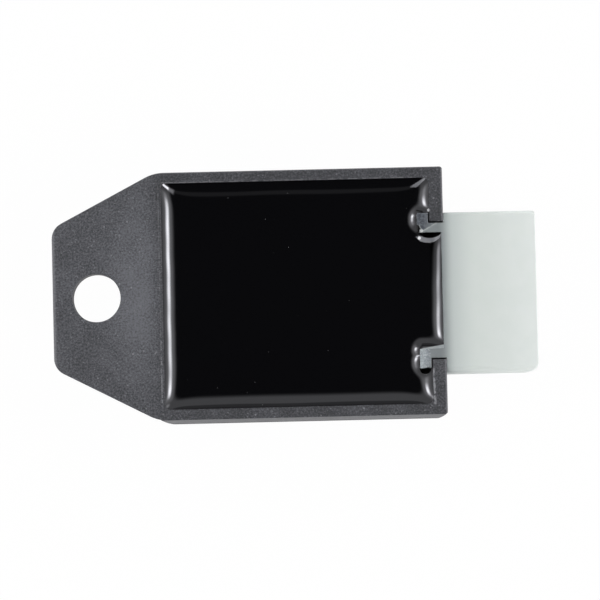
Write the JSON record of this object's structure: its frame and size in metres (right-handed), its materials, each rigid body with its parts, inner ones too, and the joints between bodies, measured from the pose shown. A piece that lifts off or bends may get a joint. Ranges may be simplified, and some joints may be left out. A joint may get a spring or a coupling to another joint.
{
  "type": "voltage regulator rectifier",
  "caption": "Finned die-cast case with a drilled mounting lug, a potted circuit and a bladed plug socket; it rectifies and limits the charging current of a small scooter.",
  "frame": {"origin": "on the mounting hole's axis, in the plane of the mounting face (the rim and lug)", "axes": "+X from the hole towards the plug socket, +Z out of the mounting face, fins towards -Z"},
  "size_m": [0.0722, 0.038, 0.0204],
  "materials": {
    "case_finish": "dark satin coat on die-cast metal, fine sparkle",
    "potting": "glossy black cast resin",
    "nylon": "natural milky nylon, slightly glossy",
    "blade_metal": "tinned brass",
    "board": "green glass-fibre laminate",
    "thyristor_case": "black moulded epoxy on a tinned tab",
    "pad": "grey silicone sheet",
    "bush": "ivory moulded plastic",
    "screw_metal": "zinc-plated steel",
    "diode_case": "black moulded epoxy",
    "resistor_coat": "tan lacquer",
    "capacitor_sleeve": "dark blue shrink sleeve"
  },
  "bodies": {
    "root": {"heat_sink_case": "case_finish", "potting_compound": "potting", "connector_shell": "nylon", "battery_terminal": "blade_metal", "lighting_terminal": "blade_metal", "stator_terminal": "blade_metal", "ground_terminal": "blade_metal", "circuit_board": "board", "charging_thyristor": "thyristor_case", "lighting_thyristor": "thyristor_case", "charging_insulating_pad": "pad", "lighting_insulating_pad": "pad", "charging_screw_bush": "bush", "lighting_screw_bush": "bush", "charging_thyristor_screw": "screw_metal", "lighting_thyristor_screw": "screw_metal", "battery_zener_diode": "diode_case", "lighting_zener_diode": "diode_case", "charging_gate_diode": "diode_case", "lighting_gate_diode": "diode_case", "battery_sense_resistor": "resistor_coat", "lighting_sense_resistor": "resistor_coat", "charging_gate_resistor": "resistor_coat", "lighting_gate_resistor": "resistor_coat", "smoothing_capacitor": "capacitor_sleeve"}
  },
  "joints": []
}
